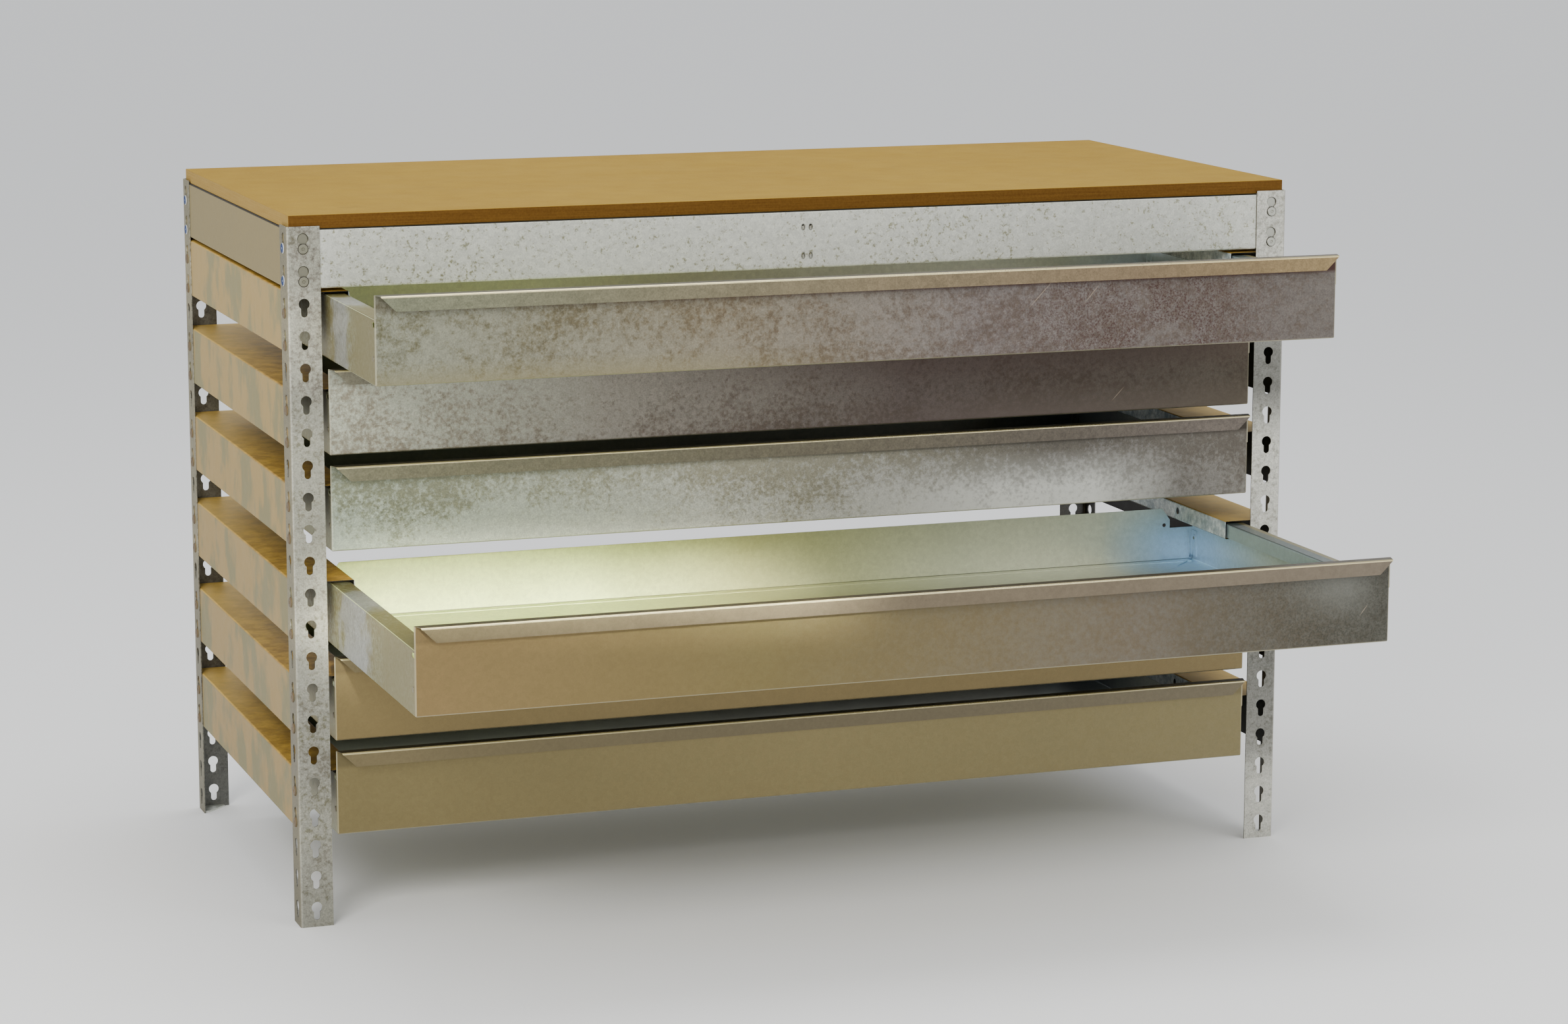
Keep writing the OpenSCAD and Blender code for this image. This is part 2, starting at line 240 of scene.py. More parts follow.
    def along(self, stops):
        """A colour that drifts from the bench's left end to its right end; stops are sRGB bytes."""
        return self.ramp(self.span(self.x, -HALF_W, HALF_W), [(place, lin(*rgb)) for place, rgb in stops])

    def bump(self, height, strength, distance, base=None):
        node = self.nodes.new("ShaderNodeBump")
        node.inputs["Strength"].default_value = strength
        node.inputs["Distance"].default_value = distance
        self.put(node.inputs["Height"], height)
        if base is not None:
            self.links.new(base, node.inputs["Normal"])
        return node.outputs[0]

    def scratch(self, x, z, length, slope):
        """1 along a short straight scratch in the XZ plane that starts at x, z."""
        width = 0.35 * MM
        cos, sin = math.cos(slope), math.sin(slope)
        dx = self.math("SUBTRACT", self.x, x)
        dz = self.math("SUBTRACT", self.z, z)
        on = self.math("MULTIPLY_ADD", dx, cos, self.math("MULTIPLY", dz, sin))
        off = self.math("ABSOLUTE", self.math("MULTIPLY_ADD", dx, -sin, self.math("MULTIPLY", dz, cos)))
        ends = self.times(self.above(on, 0, length / 4), self.below(on, length, length / 4))
        return self.times(ends, self.below(off, width, width))


# ---- galvanised steel ----
# how many crystals and grains of the zinc there are to a metre
CRYSTALS, GRAINS = 210, 520


def spangle(t, dark, pale, cover=0.0, size=150, ragged=0.06, crystals=0.08, grain=0.1, clump=0.5,
            shift=None):
    """Ragged pale blotches over a darker tone, with faint crystals and fine grain.

    cover and shift make more of it pale, size makes the blotches finer, ragged softens their edges,
    clump gathers them. Returns the colour and the blotches' mask.
    """
    field = t.math("MULTIPLY_ADD", t.noise(t.skin, 5.5, 2), clump, t.noise(t.skin, size, 7, 0.72))
    field = t.math("MULTIPLY_ADD", t.noise(t.skin, 30, 2), clump * 0.6, field)
    if shift is not None:
        field = t.math("ADD", field, shift)
    middle = 0.5 + clump * 0.8 - cover
    mask = t.span(field, middle - ragged, middle + ragged)
    facet = t.span(t.cells(t.skin, CRYSTALS), 0, 1, 1 - crystals, 1 + crystals)
    fine = t.span(t.noise(t.skin, GRAINS, 2, 0.6), 0.3, 0.7, 1 - grain, 1 + grain)
    return t.shade(t.mix(mask, dark, pale), t.times(facet, fine)), mask


def finish_steel(t, colour, mask, metallic=0.75, rough=0.38, polish=None, gloss=0.5):
    """Wire the shader: blotches are rougher and slightly raised, polish makes a place smoother."""
    t.put(t.bsdf.inputs["Base Color"], colour)
    rough = t.span(mask, 0, 1, rough, rough + 0.1)
    if polish is not None:
        rough = t.times(rough, t.span(polish, 0, 1, 1, 0.4))
    t.put(t.bsdf.inputs["Roughness"], rough)
    t.bsdf.inputs["Metallic"].default_value = metallic
    t.bsdf.inputs["Specular IOR Level"].default_value = gloss
    waves = t.bump(t.noise(t.skin, 3.2, 1), 0.1, 4 * MM)
    t.links.new(t.bump(mask, 0.06, 0.3 * MM, waves), t.bsdf.inputs["Normal"])
    return t.mat


# painted light and shade on the left and the right posts, at parts of their height from the floor up:
# painted shadow below the drawers that stand open
LEFT_POST_LIGHT = [(0.03, 0.75), (0.14, 0.95), (0.22, 0.85), (0.32, 0.92), (0.39, 1.0), (0.43, 1.5),
               (0.48, 1.2), (0.7, 1.3), (0.76, 1.05), (0.81, 1.5), (0.87, 1.8), (0.93, 1.15)]
RIGHT_POST_LIGHT = [(0.09, 0.95), (0.14, 0.55), (0.18, 0.42), (0.28, 0.34), (0.42, 0.4), (0.475, 0.95),
                (0.62, 1.1), (0.66, 0.68), (0.7, 0.33), (0.78, 0.4), (0.85, 1.0)]
# a ramp holds 0 to 1, so it holds the levels as parts of this
FULL_LEVEL = 2


def levels(t, stops):
    """Part of the full level of painted light and shade that a post has at each height."""
    return t.ramp(t.span(t.z, 0, POST_TOP), [(place, (level / FULL_LEVEL,) * 3) for place, level in stops])


def post_steel():
    """Posts: clouded zinc, with painted shade that makes the outer sides darker and khaki, a painted
    highlight at the bend, painted shade on the inside, and painted light and shadow by height.
    """
    t = Tree("post_steel")
    cloud = t.noise(t.skin, 9, 2)
    dark = t.mix(t.span(cloud, 0.45, 0.6), lin(114, 111, 90), lin(116, 110, 100))
    dark = t.mix(t.right, dark, lin(150, 148, 136))
    pale = t.mix(t.right, lin(158, 157, 144), lin(192, 191, 181))
    # painted shade: the outer sides darker and khaki
    outer = t.above(t.math("ABSOLUTE", t.nx), 0.7, 0.1)
    dark = t.mix(outer, dark, lin(104, 94, 66))
    pale = t.mix(outer, pale, lin(124, 117, 91))
    col, mask = spangle(t, dark, pale, cover=0.08, size=200, ragged=0.09, grain=0.2, clump=0.4)
    # painted light and shadow on the posts by height
    level = t.mix(t.right, levels(t, LEFT_POST_LIGHT), levels(t, RIGHT_POST_LIGHT))
    col = t.shade(col, t.math("MULTIPLY", level, FULL_LEVEL))
    # painted highlight: pale along the corner bend
    bend = t.times(t.above(t.side, HALF_W - POST_BEND, MM), t.above(t.depth, HALF_D - POST_BEND, MM))
    col = t.mix(t.times(bend, 0.25), col, lin(214, 210, 194))
    # painted shade on the inner faces
    inner = t.times(t.below(t.side, HALF_W - POST_INSIDE), t.below(t.depth, HALF_D - POST_INSIDE))
    col = t.mix(t.times(inner, 0.6), col, lin(66, 68, 74))
    return finish_steel(t, col, mask)


def painted_top_shadow(t, col, top):
    """Painted shadow where a beam's top flange meets the board."""
    return t.mix(t.above(t.z, top - TOP_EDGE), col, lin(40, 36, 28))


def dark_tabs(t, col, top):
    """Dark round the crossbar's tabs at mid-span; up is squeezed so that the tall slots count as round."""
    across = t.math("SUBTRACT", t.side, TAB_X)
    up = t.math("SUBTRACT", t.math("ABSOLUTE", t.math("SUBTRACT", t.z, top - TAB_MIDDLE)), TAB_RISE)
    up = t.math("MULTIPLY", up, TAB_W / TAB_H)
    rim = t.below(t.reach(across, up), TAB_W / 2 + TAB_RIM, TAB_RIM)
    return t.mix(t.times(rim, 0.7), col, lin(58, 56, 46))


def beam_ends(t, col):
    """What shows through the two top keyholes: web, painted shadow under each keyhole's upper edge, painted
    shade round the rivets, and their flat heads.
    """
    post_tone = t.mix(t.right, lin(132, 130, 114), lin(166, 166, 156))
    head = t.above(t.depth, HALF_D + 0.1 * MM, 0.1 * MM)
    face = t.above(t.depth, HALF_D + 1.3 * MM, 0.2 * MM)
    col = t.mix(t.above(t.side, HALF_W - POST_FLANGE), col, post_tone)
    across = t.math("SUBTRACT", t.side, HALF_W - KEY_X)
    for row in (0, 1):
        up = t.math("SUBTRACT", t.z, POST_TOP - KEY_TOP - row * PITCH)
        reach = t.reach(across, up)
        # painted shadow under the upper edge of each keyhole
        rim = t.times(t.above(reach, KEY_D / 2 - 1.1 * MM, 0.4 * MM),
                      t.below(reach, KEY_D / 2 + MM, 0.2 * MM))
        col = t.mix(t.times(rim, t.above(up, -1.5 * MM, MM), 0.75), col, lin(60, 56, 48))
        from_rivet = t.reach(across, t.math("ADD", up, RIVET_DROP))
        face = t.most(face, t.math("MULTIPLY", t.below(from_rivet, DISH_R), 0.85))
    # painted shade on the heads' sides, pale on their flat and dished tops
    return t.mix(head, col, t.mix(face, lin(52, 48, 42), t.shade(post_tone, 1.1)))


def beam_steel():
    """Front and rear beams: bright, with small khaki specks, and painted shade that makes them darker to the
    right.
    """
    t = Tree("beam_steel")
    top = corners("beam_front")[1].z
    col, mask = spangle(t, lin(158, 156, 128), lin(212, 213, 203), cover=0.1, size=190, ragged=0.045,
                        clump=0.12)
    # painted shade: darker towards the right end
    col = t.mix(t.span(t.x, 0.05, HALF_W), col, t.shade(col, 0.8))
    col = dark_tabs(t, painted_top_shadow(t, col, top), top)
    return finish_steel(t, beam_ends(t, col), mask)


# side beams and rails mirror less than the rest of the zinc
DULL = {"metallic": 0.35, "rough": 0.5, "gloss": 0.2}


def side_heads(t):
    """1 on the rivet heads on the bench's left and right sides."""
    return t.above(t.side, HALF_W + 0.2 * MM, 0.1 * MM)


def side_beam_steel():
    """Side beams: smooth khaki sheet, blue rivet heads with a painted highlight on the rim."""
    t = Tree("side_beam_steel")
    col, mask = spangle(t, lin(143, 128, 86), lin(149, 134, 94), ragged=0.2, crystals=0.02, grain=0.03)
    col = painted_top_shadow(t, col, corners("beam_left")[1].z)
    # blue head tops, with a painted highlight on the rounded rim
    face = t.above(t.side, HALF_W + 1.2 * MM, 0.3 * MM)
    col = t.mix(side_heads(t), col, t.mix(face, lin(206, 210, 214), lin(36, 60, 108)))
    return finish_steel(t, col, mask, **DULL)


def rail_steel():
    """Rails: tan webs with soft upright streaks and painted shade low down, golden top plates that are a
    painted reflection of the board, painted shade in the channel, grey inner lips, bronze rivet heads.
    """
    t = Tree("rail_steel_finish")
    lip_x = -corners("rail_left_1")[1].x
    streak = t.noise(t.stretch((12, 15, 9), 0.25), 1.0, 5, 0.62)
    web = t.mix(t.span(streak, 0.46, 0.56), lin(170, 144, 90), lin(141, 132, 91))
    # painted shade: the webs darker towards the bottom
    web = t.shade(web, t.span(t.z, 0.2, 0.75, 0.84, 1.1))
    # painted reflection of the board: golden top plates, paler towards the rear and the right
    mottle = t.span(t.noise(t.skin, 45, 6, 0.66), 0.4, 0.62)
    plate = t.mix(mottle, lin(159, 123, 48), lin(202, 161, 65))
    to_rear = t.span(t.y, MID_Y - 0.15, MID_Y + 0.2, 0.0, 0.6)
    to_right = t.span(t.x, 0, 0.1, 0, 0.65)
    plate = t.mix(t.most(to_rear, to_right), plate, lin(219, 184, 96))
    lip, mask = spangle(t, lin(160, 174, 180), lin(242, 248, 246), size=70, ragged=0.14)
    col = t.mix(t.above(t.nz, 0.5, 0.2), web, plate)
    # painted shade inside the rail's channel
    channel = t.times(t.below(t.side, HALF_W - CHANNEL_IN), t.below(t.nz, 0.3, 0.2))
    col = t.mix(channel, col, lin(24, 22, 18))
    col = t.mix(t.below(t.side, lip_x + 0.7 * MM, 0.2 * MM), col, lip)
    col = t.mix(side_heads(t), col, lin(112, 98, 78))
    return finish_steel(t, col, t.times(mask, 0.5), **DULL)


def small_zinc(name, dark, pale, **blotches):
    """Plain zinc in two tones."""
    t = Tree(name)
    return finish_steel(t, *spangle(t, lin(*dark), lin(*pale), **blotches))


# ---- drawers ----
# tones of each drawer's front, with the reflections of the room and the floor painted in, mostly lighter on
# the left and darker on the right: dark tone, pale blotches, then the flap of the lip. Each is a list of
# places, from 0 at the bench's left end to 1 at its right end, with sRGB bytes
FRONTS = {
    1: ([(0.05, (101, 98, 74)), (0.35, (103, 91, 71)), (0.6, (92, 81, 73)), (1, (86, 77, 68))],
        [(0.05, (134, 135, 117)), (0.35, (128, 121, 104)), (0.6, (113, 106, 102)), (1, (98, 92, 86))],
        [(0.05, (115, 117, 95)), (0.5, (117, 105, 82)), (0.76, (115, 99, 76)), (0.95, (135, 116, 82))]),
    2: ([(0.05, (147, 140, 121)), (0.3, (109, 99, 88)), (0.6, (71, 60, 52)), (1, (61, 53, 43))],
        [(0.05, (193, 196, 177)), (0.3, (147, 141, 131)), (0.6, (93, 83, 78)), (1, (72, 66, 55))],
        [(0.05, (119, 115, 98)), (0.5, (115, 106, 87)), (1, (119, 106, 79))]),
    3: ([(0.05, (147, 151, 125)), (0.4, (169, 165, 144)), (0.75, (109, 104, 95)), (1, (89, 83, 75))],
        [(0.05, (188, 198, 180)), (0.4, (202, 202, 191)), (0.75, (135, 131, 127)), (1, (114, 111, 103))],
        [(0.05, (128, 125, 101)), (0.5, (113, 107, 91)), (0.85, (103, 95, 87))]),
    4: ([(0.05, (125, 106, 68)), (0.35, (112, 99, 62)), (0.7, (100, 90, 73)), (1, (59, 58, 50))],
        [(0.05, (130, 109, 71)), (0.35, (115, 103, 66)), (0.7, (106, 100, 89)), (1, (79, 79, 72))],
        [(0.05, (113, 102, 74)), (0.5, (109, 98, 80)), (0.95, (112, 102, 88))]),
    5: ([(0.05, (124, 108, 70)), (1, (118, 103, 70))],
        [(0.05, (127, 111, 73)), (1, (121, 107, 74))],
        [(0.05, (115, 104, 75)), (1, (110, 99, 73))]),
    6: ([(0.05, (118, 106, 70)), (0.5, (133, 120, 83)), (1, (124, 114, 80))],
        [(0.05, (122, 110, 74)), (0.5, (136, 125, 87)), (1, (127, 117, 85))],
        [(0.05, (114, 103, 74)), (0.5, (107, 98, 76)), (0.85, (107, 99, 80))]),
}
# the fronts with strong spangle, and how much paler it gets at the panel's foot and top
SPANGLED = {1: (0.04, 0.0), 2: (-0.06, 0.1), 3: (0.12, -0.14)}
# short scratches on a front: metres from its left end and its bottom, length, slope in radians
SCRATCHES = {1: [(0.79, 0.058, 0.032, 0.8), (0.86, 0.06, 0.022, 0.85)],
             2: [(1.0, 0.016, 0.018, 0.8)],
             4: [(1.15, 0.036, 0.012, 0.9)]}


def fine_specks(t):
    """1 on fine ragged specks."""
    return t.span(t.noise(t.skin, 420, 5, 0.7), 0.46, 0.6)


def front_stains_and_light(t, k, col, pale, mask, up, panel):
    """Each front's stains, with painted glows and painted shadow; up runs from 0 at the panel's foot to 1 at
    the lip.
    """
    if k == 1:
        blots = t.span(t.noise(t.skin, 16, 4, 0.65), 0.42, 0.56)
        stained = t.times(t.span(t.x, 0.08, 0.3), t.span(t.x, 0.56, 0.42), panel, blots)
        col = t.mix(t.times(fine_specks(t), stained, 0.9), col, lin(68, 46, 41))
        # painted glow low on the left
        glow = t.times(t.span(up, 0.3, 0.0), t.span(t.x, 0.0, -0.3))
        col = t.mix(t.times(glow, 0.5, panel), col, lin(128, 118, 78))
    if k == 2:
        # painted shadow of the open first drawer across the top, and painted light low on the right
        red = t.times(t.span(up, 0.5, 0.95), t.span(t.x, -0.3, 0.1))
        col = t.mix(t.times(red, 0.4), col, lin(66, 47, 41))
        low = t.times(t.span(up, 0.5, 0.05), t.span(t.x, 0, 0.25))
        col = t.mix(t.times(low, 0.6), col, t.shade(pale, 1.45))
    if k == 3:
        # painted glow low down, right of the middle
        glow = t.times(t.span(t.x, 0.02, 0.26), t.span(t.x, 0.5, 0.38), t.span(up, 0.85, 0.3))
        col = t.mix(t.times(glow, t.span(mask, 0, 1, 0.6, 1.0)), col, lin(222, 222, 214))
    if k == 4:
        dull_end = t.times(fine_specks(t), t.span(t.x, 0.3, 0.5), panel, 0.55)
        col = t.mix(dull_end, col, lin(50, 50, 42))
        patch = t.times(t.span(t.x, 0.45, 0.52), t.span(t.x, 0.58, 0.54), t.span(up, 0.3, 0.75), panel)
        col = t.mix(t.times(patch, 0.4), col, lin(128, 129, 122))
    return col


def front_shadows(t, k, col, hi, behind_lip, panel):
    """Painted shadow under the lip, painted shade in the corners behind the panel, and painted shade on the
    flat top.
    """
    # painted shadow under the overhanging lip, reddish on the first drawer
    under = t.times(t.above(t.z, hi.z - LIP_DOWN - 3.5 * MM, 2.5 * MM), panel)
    lip_shadow = t.span(t.x, -0.45, 0.1, 0.3, 0.9) if k in SPANGLED else 0.3
    col = t.mix(t.times(under, lip_shadow), col, lin(58, 30, 24) if k == 1 else lin(50, 44, 36))
    # painted shade in the corners behind the panel
    corner = t.times(t.above(t.y, behind_lip + SHEET / 2, 0.2 * MM), t.above(t.z, hi.z - CORNER_DOWN, MM),
                     t.above(t.side, hi.x - CORNER_IN, MM), t.below(t.side, hi.x - MM))
    col = t.mix(corner, col, lin(26, 24, 20))
    # painted shade on the lip's flat top
    flat = t.times(t.above(t.nz, 0.8, 0.1), t.above(t.z, hi.z - MM))
    return t.mix(t.times(flat, 0.85), col, lin(74, 66, 44))


def front_steel(k):
    """Panel and lip: blotched sheet, painted highlights along the bends, painted shadow under the lip."""
    t = Tree("front_steel_%d" % k)
    lo, hi = corners("drawer_%d_front" % k)
    behind_lip = lo.y + LIP_OUT
    lip = t.below(t.y, behind_lip - BEND)
    panel = t.above(t.y, behind_lip - BEND)
    up = t.span(t.z, lo.z, hi.z - LIP_DOWN)
    dark, pale, flap = (t.along(stops) for stops in FRONTS[k])
    dark = t.mix(lip, dark, t.shade(flap, 0.95))
    pale = t.mix(lip, pale, t.shade(flap, 1.1))
    if k in SPANGLED:
        shift = t.times(t.span(up, 0, 1, *SPANGLED[k]), panel)
        col, mask = spangle(t, dark, pale, cover=0.02, size=180, ragged=0.1, grain=0.16, shift=shift)
    else:
        col, mask = spangle(t, dark, pale, ragged=0.14, crystals=0.03, grain=0.04)
    col = front_stains_and_light(t, k, col, pale, mask, up, panel)
    col = front_shadows(t, k, col, hi, behind_lip, panel)
    for x, z, length, slope in SCRATCHES.get(k, []):
        col = t.mix(t.times(t.scratch(lo.x + x, lo.z + z, length, slope), 0.45), col, lin(190, 172, 150))
    # painted highlights: fine pale lines at the panel's edges, and a bright bend at the lip that fades to
    # the right
    edge = t.most(t.above(t.side, hi.x - 1.4 * MM, 0.5 * MM), t.below(t.z, lo.z + 1.2 * MM, 0.5 * MM))
    col = t.mix(t.times(edge, panel, 0.5), col, lin(196, 190, 160))
    nose = t.times(t.below(t.y, lo.y + BEND, 0.4 * MM), t.above(t.z, hi.z - BEND, 0.4 * MM))
    shine = t.times(nose, t.span(t.x, -HALF_W, HALF_W * 0.8, 1.0, 0.4))
    col = t.mix(shine, col, lin(250, 236, 180))
    return finish_steel(t, col, mask, metallic=0.7, rough=0.36, polish=shine)


# painted light and shade of the inside: open drawers, shut ones, and the painted shade at the rear of shut
# ones
OPEN_TONE, SHUT_TONE, REAR_SHADE_TONE = 1.0, 0.85, 0.3
# how many metres the open drawers stand out in the rest pose
OPEN_BY = {1: 0.232, 4: 0.388}
# the inside's tone from the left end to the right end: zinc with painted light and painted reflection
INSIDE = [(0.05, (234, 246, 172)), (0.3, (230, 242, 168)), (0.48, (190, 191, 138)), (0.7, (192, 195, 170)),
          (0.86, (204, 206, 186)), (0.97, (198, 208, 200))]


def tray_inside(t, k, lo, hi, rear):
    """Creamy with painted light, a painted blue sheen towards the rear right corner, painted shade at the
    rear of shut drawers.
    """
    col = t.along(INSIDE)
    # painted reflection: a blue sheen towards the rear right corner
    sheen = t.times(t.span(t.x, hi.x - 130 * MM, hi.x - 40 * MM),
                    t.span(t.y, hi.y - 240 * MM, hi.y - 60 * MM),
                    t.span(t.z, hi.z, hi.z - 40 * MM, 0.3, 1.0))
    on_floor = t.below(t.z, lo.z + FLOOR_TOP)
    col = t.mix(sheen, col, t.mix(on_floor, lin(186, 208, 226), lin(200, 230, 250)))
    if k != 4:
        col = t.mix(0.5, col, lin(226, 226, 212))
    # the inner face of the right side flange
    flange = t.times(t.above(t.z, hi.z - FACE_DOWN), t.above(t.x, hi.x - FACE_IN), 0.75)
    col = t.mix(flange, col, lin(150, 172, 180))
    # painted shade towards the rear of shut drawers, full painted light in open ones
    rear_shade = t.span(t.y, rear - 260 * MM, rear - 120 * MM, SHUT_TONE, REAR_SHADE_TONE)
    col = t.shade(col, OPEN_TONE if k in OPEN_BY else rear_shade)
    return spangle(t, col, t.shade(col, 1.12), ragged=0.12, crystals=0.04, grain=0.03)


def tray_outside(t, k, lo, hi, behind):
    """Khaki blotches; an open drawer's side is grey where the rail rubs and smooth towards the front."""
    col, spots = spangle(t, lin(124, 115, 66), lin(146, 145, 112), cover=-0.02)
    if k in OPEN_BY:
        to_rail = t.span(t.y, lo.y, lo.y + OPEN_BY[k])
        rubbed, spots = spangle(t, lin(124, 122, 108), lin(166, 167, 160), cover=0.06, size=230, ragged=0.12)
        edge = t.math("MULTIPLY_ADD", t.noise(t.skin, 40, 3), 0.3, to_rail)
        col = t.mix(t.times(t.span(edge, 0.66, 0.76), t.span(edge, 1.06, 1.0)), col, rubbed)
        col = t.mix(t.times(t.span(edge, 0.66, 0.5), 0.8), col, lin(128, 118, 68))
    # the flanges' tops are cooler on the right
    cool = t.times(t.above(t.nz, 0.5, 0.2), t.right, t.above(t.z, hi.z - MM))
    col = t.mix(cool, col, t.mix(t.below(t.side, hi.x - 9 * MM, MM), lin(146, 138, 100), lin(108, 118, 114)))
    rear_tone = t.mix(spots, lin(138, 135, 118), lin(166, 166, 156))
    return t.mix(t.times(behind, 0.7), col, rear_tone), spots


def tray_steel(k):
    """Tray and back wall: inside and outside tones, split at the middle of the sheet."""
    t = Tree("tray_steel_%d" % k)
    lo, hi = corners("drawer_%d_tray" % k)
    rear = corners("drawer_%d_back" % k)[1].y
    behind = t.above(t.y, rear - 0.3 * MM, 0.1 * MM)
    inside, mask = tray_inside(t, k, lo, hi, rear)
    outside, spots = tray_outside(t, k, lo, hi, behind)
    out = t.most(t.above(t.side, hi.x - SHEET / 2, 0.1 * MM), t.below(t.z, lo.z + SHEET / 2, 0.1 * MM),
                 behind, t.above(t.z, hi.z - 0.5 * MM, 0.1 * MM))
    col = t.mix(out, inside, outside)
    # the hollow under the side flanges is always in the dark
    hollow = t.times(t.above(t.side, hi.x - HOLLOW_IN), t.below(t.side, hi.x - MM), t.below(t.z, hi.z - MM),
                     t.above(t.z, hi.z - HOLLOW_DOWN, MM), t.below(t.nz, 0.5), t.below(t.y, hi.y - 8 * MM))
    col = t.mix(hollow, col, lin(34, 32, 26))
    # a fine dark line at the joint of floor and back wall
    joint = t.times(t.above(t.y, rear - JOINT), t.below(t.z, lo.z + FLOOR_TOP), t.above(t.z, lo.z + MM))
    col = t.mix(t.times(joint, 0.8), col, lin(70, 72, 56))
    return finish_steel(t, col, t.mix(out, mask, spots), metallic=0.7, rough=0.34)


# ---- fibreboard ----
def fibreboard():
    """Mottled and smudged on top, layered and darker at the edges, with painted shade on the front edge and
    painted light on the ends.
    """
    t = Tree("fibreboard")
    fibre = t.noise(t.stretch((1.0, 1.6, 1.0)), 420, 4, 0.6)
    mottle = t.noise(t.skin, 26, 4)
    cloud = t.noise(t.skin, 2.6, 2)
    field = t.math("MULTIPLY_ADD", fibre, 0.35, t.math("MULTIPLY", mottle, 0.4))
    field = t.math("MULTIPLY_ADD", cloud, 0.25, field)
    top = t.ramp(t.span(field, 0.32, 0.68), [(0, lin(143, 112, 34)), (1, lin(160, 129, 45))])
    smudge = t.times(t.span(t.noise(t.skin, 9, 5, 0.65), 0.64, 0.76), 0.35)
    top = t.mix(smudge, top, lin(109, 85, 35))
    layer = t.noise(t.stretch((14, 14, 900)), 1.0, 2)
    grain = t.span(t.math("MULTIPLY_ADD", layer, 0.5, t.math("MULTIPLY", fibre, 0.5)), 0.3, 0.7)
    # raw edges, darker than the top; the front edge has painted shade and the ends painted light
    front = t.ramp(grain, [(0, lin(83, 53, 13)), (1, lin(105, 73, 23))])
    end = t.ramp(grain, [(0, lin(152, 121, 58)), (1, lin(170, 141, 77))])
    rim = t.mix(t.above(t.math("ABSOLUTE", t.nx), 0.6, 0.2), front, end)
    t.put(t.bsdf.inputs["Base Color"], t.mix(t.above(t.math("ABSOLUTE", t.nz), 0.6, 0.2), rim, top))
    t.put(t.bsdf.inputs["Roughness"], t.span(grain, 0, 1, 0.85, 0.72))
    t.bsdf.inputs["Specular IOR Level"].default_value = 0.15
    t.links.new(t.bump(fibre, 0.12, 0.3 * MM), t.bsdf.inputs["Normal"])
    return t.mat


# ---- pieces ----
def piece(name, mesh, mat, body):
    """A new visual piece that rides on a CAD body."""
    obj = bpy.data.objects.new(name, mesh)
    bpy.context.scene.collection.objects.link(obj)
    mesh.materials.append(mat)
    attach(obj, body)
    return obj


def paint(node, mat):
    """Give a CAD node one material."""
    slots = NODES[node].material_slots
    if not slots:
        NODES[node].data.materials.append(mat)
    for slot in slots:
        slot.material = mat


def paint_all():
    """Give every CAD node its material. Returns the trays' materials, which the creases share."""
    shared = {"post": post_steel(), "beam": beam_steel(), "rail": rail_steel(),
              "crossbar": small_zinc("bar_steel", (156, 152, 136), (184, 184, 176)),
              "foot": small_zinc("foot_zinc", (196, 200, 190), (216, 218, 212), ragged=0.2, crystals=0.03)}
    side_beam = side_beam_steel()
    rivet = small_zinc("rivet_zinc", (112, 102, 78), (146, 140, 118), ragged=0.2, crystals=0.03)
    fronts = {k: front_steel(k) for k in DRAWERS}
    trays = {k: tray_steel(k) for k in DRAWERS}
    for node in NODES:
        kind = node.split("_")[0]
        if node in ("beam_left", "beam_right"):
            paint(node, side_beam)
        elif kind in shared:
            paint(node, shared[kind])
        elif node.endswith("_rivets"):
            paint(node, rivet)
        elif kind == "drawer":
            k = int(node.split("_")[1])
            paint(node, fronts[k] if node.endswith("_front") else trays[k])
    return trays


def board():
    """The top: a sheet with eased edges."""
    eased = 0.8 * MM
    lo, hi = corners("worktop")
    bm = bmesh.new()
    bmesh.ops.create_cube(bm, size=1)
    for vert in bm.verts:
        vert.co = Vector(((lo[i] + hi[i]) / 2 + vert.co[i] * (hi[i] - lo[i])) for i in range(3))
    bmesh.ops.bevel(bm, geom=bm.edges[:], offset=eased, segments=3, profile=0.6, affect="EDGES")
    mesh = bpy.data.meshes.new("board")
    bm.to_mesh(mesh)
    bm.free()
    obj = piece("board", mesh, fibreboard(), BODIES["worktop"])
    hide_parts("worktop")


# ---- drawer corners: pressed eyelets and the creases that the folds leave ----
# an eyelet's place in front of the back wall's outside and above the tray's underside
EYELET_IN, EYELET_UP = 8 * MM, 30 * MM
# its outline in millimetres: radius and height, a rounded ring with a small hollow middle
EYELET = [(5.4, 0.0), (4.8, 0.35), (3.8, 0.9), (3.0, 1.0), (2.3, 0.7), (1.7, 0.2), (0.9, 0.1)]


def ridge(bm, start, end, out, width, height):
    """A tent-shaped crease on a sheet, widest and highest at its start, running out to nothing."""
    across = (end - start).cross(out).normalized() * width / 2
    steps = 6
    crest = 0.3
    rings = []
    for i in range(steps):
        part = i / steps
        mid = start.lerp(end, part)
        half = across * (1 - part) ** 0.7
        lift = out * height * (1 - part)
        rings.append([bm.verts.new(mid - half), bm.verts.new(mid - half * crest + lift),
                      bm.verts.new(mid + half * crest + lift), bm.verts.new(mid + half)])
    tip = bm.verts.new(end)
    for a, b in zip(rings, rings[1:]):
        for j in range(4):
            bm.faces.new((a[j], a[(j + 1) % 4], b[(j + 1) % 4], b[j]))
    bm.faces.new(rings[0])
    for j in range(4):
        bm.faces.new((rings[-1][j], rings[-1][(j + 1) % 4], tip))


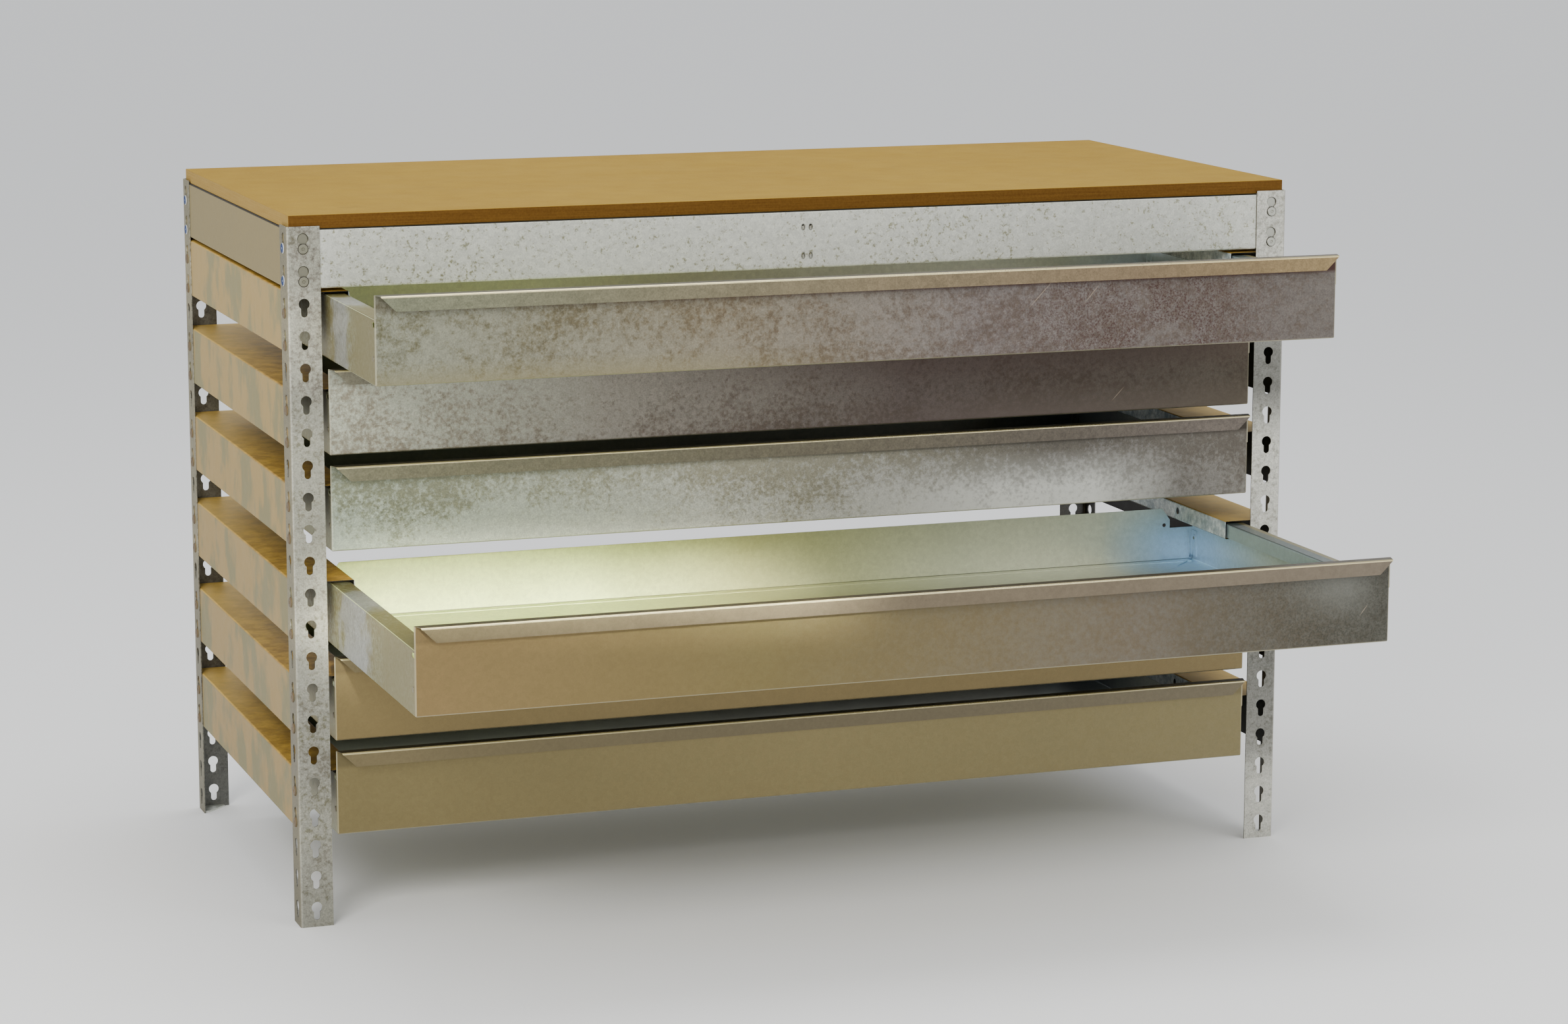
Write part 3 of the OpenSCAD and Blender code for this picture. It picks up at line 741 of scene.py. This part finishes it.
def eyelet(bm, centre, axis):
    """A pressed ring with a small hollow middle, lathed round axis."""
    u = axis.orthogonal().normalized()
    v = axis.cross(u)
    turns = 24
    angles = [2 * math.pi * i / turns for i in range(turns)]
    rings = [[bm.verts.new(centre + (axis * height + (u * math.cos(a) + v * math.sin(a)) * radius) * MM)
              for a in angles] for radius, height in EYELET]
    for a, b in zip(rings, rings[1:]):
        for i in range(turns):
            bm.faces.new((a[i], a[(i + 1) % turns], b[(i + 1) % turns], b[i]))
    bm.faces.new(rings[-1])
    bm.faces.new(rings[0][::-1])


def corner_details(k, mat):
    """Creases and eyelets where the sheets of drawer k meet, in its rear corners."""
    floor = corners("drawer_%d_tray" % k)[0].z
    side = corners("drawer_%d_front" % k)[1].x - 2 * SHEET
    rear = corners("drawer_%d_back" % k)[1].y
    bm = bmesh.new()
    for s in (-1, 1):
        up, forward, inward = Vector((0, 0, 1)), Vector((0, -1, 0)), Vector((-s, 0, 0))
        corner = Vector((s * side, rear - SHEET, floor + 2 * SHEET))
        # in millimetres: start from the corner, run, the way it stands out, width, height
        creases = [((-s, -1, 0), (-s * 44, -46, 0), up, 5, 0.3),
                   ((-s, -1, 0), (-s * 78, -9, 0), up, 4, 0.3),
                   ((-s * 2, 0, 2), (-s * 3, 0, 38), forward, 3, 0.5),
                   ((0, -2, 2), (0, -13, 36), inward, 3, 0.5)]
        for start, run, out, width, height in creases:
            at = corner + Vector(start) * MM
            ridge(bm, at, at + Vector(run) * MM, out, width * MM, height * MM)
        eyelet(bm, Vector((s * side, rear - EYELET_IN, floor + EYELET_UP)), inward)
    mesh = bpy.data.meshes.new("drawer_%d_creases" % k)
    bmesh.ops.recalc_face_normals(bm, faces=bm.faces[:])
    bm.to_mesh(mesh)
    bm.free()
    for face in mesh.polygons:
        face.use_smooth = True
    piece("drawer_%d_creases" % k, mesh, mat, BODIES["drawer_%d_tray" % k])


tray_mats = paint_all()
board()
for k in DRAWERS:
    corner_details(k, tray_mats[k])


# ---- stage, light and camera ----
def stage_floor(size, colour):
    """A plain pale floor under the bench."""
    half = size / 2
    mesh = bpy.data.meshes.new("floor")
    ground = [(-half, -half, 0), (half, -half, 0), (half, half, 0), (-half, half, 0)]
    mesh.from_pydata(ground, [], [(0, 1, 2, 3)])
    mat = bpy.data.materials.new("floor")
    mat.use_nodes = True
    shader = mat.node_tree.nodes["Principled BSDF"]
    shader.inputs["Base Color"].default_value = (*colour, 1)
    shader.inputs["Roughness"].default_value = 0.9
    mesh.materials.append(mat)
    obj = bpy.data.objects.new("floor", mesh)
    bpy.context.scene.collection.objects.link(obj)


def area(name, at, to, size, power, colour=(1, 1, 1), height=None, spread=180):
    """An area light at one point, aimed at another: a disk, or an oblong if it has a height."""
    light = bpy.data.lights.new(name, "AREA")
    light.shape = "DISK"
    light.size = size
    light.energy = power
    light.color = colour
    light.spread = math.radians(spread)
    if height:
        light.shape = "RECTANGLE"
        light.size_y = height
    obj = bpy.data.objects.new(name, light)
    obj.visible_camera = False
    obj.location = at
    obj.rotation_euler = (Vector(to) - Vector(at)).to_track_quat("-Z", "Y").to_euler()
    bpy.context.scene.collection.objects.link(obj)


def sky(colour, strength):
    """Even light from all round."""
    world = bpy.data.worlds.new("studio")
    world.use_nodes = True
    background = world.node_tree.nodes["Background"]
    background.inputs[0].default_value = (*colour, 1)
    background.inputs[1].default_value = strength
    bpy.context.scene.world = world


def camera(at, down, turn, lens):
    """The photograph's camera: down below the level and turn from +Y, both in degrees."""
    data = bpy.data.cameras.new("camera")
    data.sensor_width = 36
    data.lens = lens
    data.clip_end = 200
    obj = bpy.data.objects.new("camera", data)
    obj.location = at
    obj.rotation_euler = (math.radians(90 - down), 0, math.radians(turn))
    bpy.context.scene.collection.objects.link(obj)
    bpy.context.scene.camera = obj


stage_floor(60, (0.9, 0.9, 0.89))
MIDDLE = (0, MID_Y, POST_TOP / 2)
area("key", (-2.6, -3.2, 2.6), MIDDLE, 1.8, 135, (1.0, 0.98, 0.94))
area("fill", (2.8, -4.0, 2.0), MIDDLE, 2.4, 45)
area("over", (0.2, 0.4, 3.6), MIDDLE, 2.2, 50)
# a low streak for the pull lips' bends, and a narrow strip into the open fourth drawer
area("streak", (0.95, -3.4, 2.3), (0, MID_Y - HALF_D, 0.6), 1.3, 7, height=0.09)
area("strip", (-0.55, -1.5, 0.84), (-0.3, -0.16, 0.375), 0.55, 1.7, (1.0, 0.98, 0.84), height=0.05, spread=8)
sky((0.95, 0.97, 1.0), 0.95)
camera((-1.645, MID_Y - 4.876, 1.349), down=10.31, turn=-19.46, lens=92.7)
